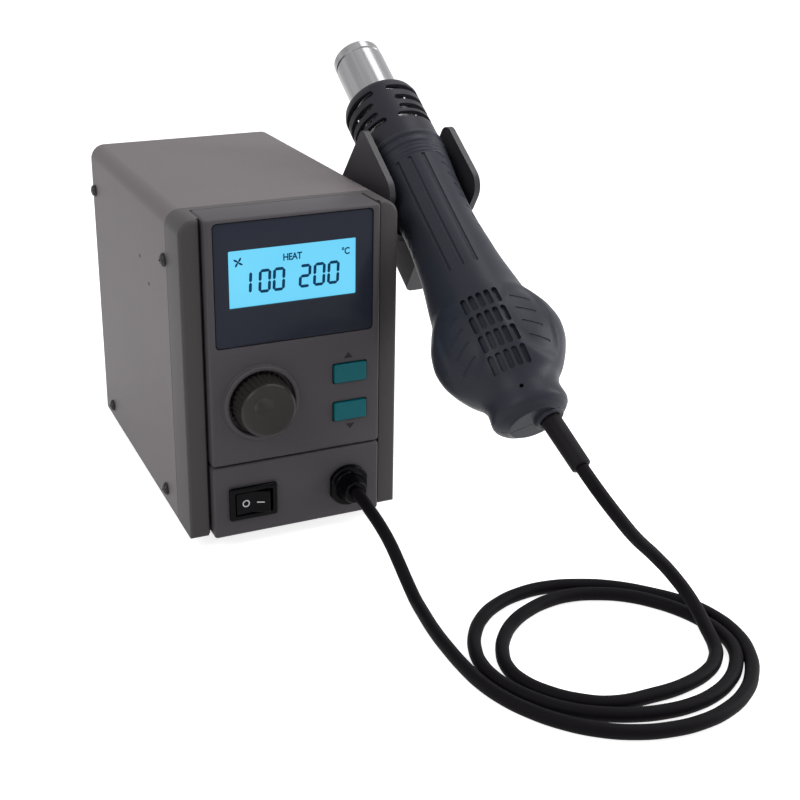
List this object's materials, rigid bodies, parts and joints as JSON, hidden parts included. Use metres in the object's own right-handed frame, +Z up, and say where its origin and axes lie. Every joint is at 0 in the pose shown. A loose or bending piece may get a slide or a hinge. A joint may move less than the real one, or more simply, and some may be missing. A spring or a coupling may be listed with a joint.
{
  "type": "hot air rework station",
  "caption": "Bench hot air rework station: sheet metal case with display, knob and buttons, and a corded blower handset resting in a side holder.",
  "frame": {"origin": "on the table, below the middle of the station with its holder and handset, cord left out", "axes": "+X to the station's right as seen from its front, +Y to its rear panel, +Z up"},
  "size_m": [0.1832, 0.3525, 0.204],
  "materials": {
    "cover_enamel": "fine textured enamel",
    "trim_moulding": "fine textured moulding",
    "front_moulding": "fine textured moulding",
    "display_panel": "smooth printed panel",
    "lit_display": "lit blue display",
    "circuit_board": "solder mask",
    "knob_black": "moulded",
    "button_teal": "moulded",
    "switch_black": "moulded",
    "handset_slate": "moulded",
    "holder_grey": "moulded",
    "polished_steel": "polished stainless steel",
    "bare_steel": "plated",
    "black_screw": "black oxide",
    "aluminium": "extruded",
    "copper_winding": "taped winding",
    "ceramic": "fired ceramic",
    "glass_tube": "clear",
    "rubber_black": "moulded",
    "cord_black": "satin sheath"
  },
  "bodies": {
    "station": {"top_cover": "cover_enamel", "chassis_base": "cover_enamel", "front_frame": "trim_moulding", "control_panel": "front_moulding", "lower_panel": "front_moulding", "display_bezel": "display_panel", "lcd_module": "lit_display", "control_board": "circuit_board", "power_board": "circuit_board", "knob_sensor": "bare_steel", "tact_switch_up": "switch_black", "tact_switch_down": "switch_black", "switch_housing": "switch_black", "cord_gland": "switch_black", "gland_nut": "switch_black", "mains_inlet": "switch_black", "transformer_core": "bare_steel", "transformer_coil": "copper_winding", "heat_sink": "aluminium", "cover_screw_left_1": "black_screw", "cover_screw_left_2": "black_screw", "cover_screw_left_3": "black_screw", "cover_screw_left_4": "black_screw", "cover_screw_right_1": "black_screw", "cover_screw_right_2": "black_screw", "cover_screw_right_3": "black_screw", "cover_screw_right_4": "black_screw", "holder_screw_1": "black_screw", "holder_screw_2": "black_screw", "foot_front_left": "rubber_black", "foot_front_right": "rubber_black", "foot_rear_left": "rubber_black", "foot_rear_right": "rubber_black", "handset_holder": "holder_grey", "holder_magnet": "bare_steel", "handset_cord": "cord_black"},
    "knob": {"knob": "knob_black", "knob_shaft": "bare_steel"},
    "button_up": {"button_up": "button_teal"},
    "button_down": {"button_down": "button_teal"},
    "rocker": {"power_rocker": "switch_black"},
    "handset": {"handset_shell_front": "handset_slate", "handset_shell_rear": "handset_slate", "heat_guard": "handset_slate", "barrel": "polished_steel", "heater_core": "ceramic", "fan_duct": "switch_black", "fan_motor": "bare_steel", "reed_switch": "glass_tube", "strain_relief": "rubber_black"},
    "fan": {"fan_rotor": "switch_black"}
  },
  "joints": [
    {"name": "knob_turn", "type": "hinge", "parent": "station", "child": "knob", "pos_m": [-0.0418, -0.0332, 0.0687], "axis": [0, -1, 0], "range_deg": [-150, 150]},
    {"name": "button_up_press", "type": "slide", "parent": "station", "child": "button_up", "axis": [0, 1, 0], "range_m": [0, 0.0008], "stiffness_N_per_m": 500, "springref_m": -0.0006},
    {"name": "button_down_press", "type": "slide", "parent": "station", "child": "button_down", "axis": [0, 1, 0], "range_m": [0, 0.0008], "stiffness_N_per_m": 500, "springref_m": -0.0006},
    {"name": "rocker_tilt", "type": "hinge", "parent": "station", "child": "rocker", "pos_m": [-0.0466, -0.0317, 0.0223], "axis": [0, 0, 1], "range_deg": [0, 18]},
    {"name": "handset_lift", "type": "slide", "parent": "station", "child": "handset", "axis": [0, -0.4725, 0.8813], "range_m": [0, 0.06]},
    {"name": "fan_spin", "type": "hinge", "parent": "handset", "child": "fan", "pos_m": [0.0492, 0.0268, 0.16203], "axis": [0, 0.8368, 0.5476], "continuous": true}
  ]
}
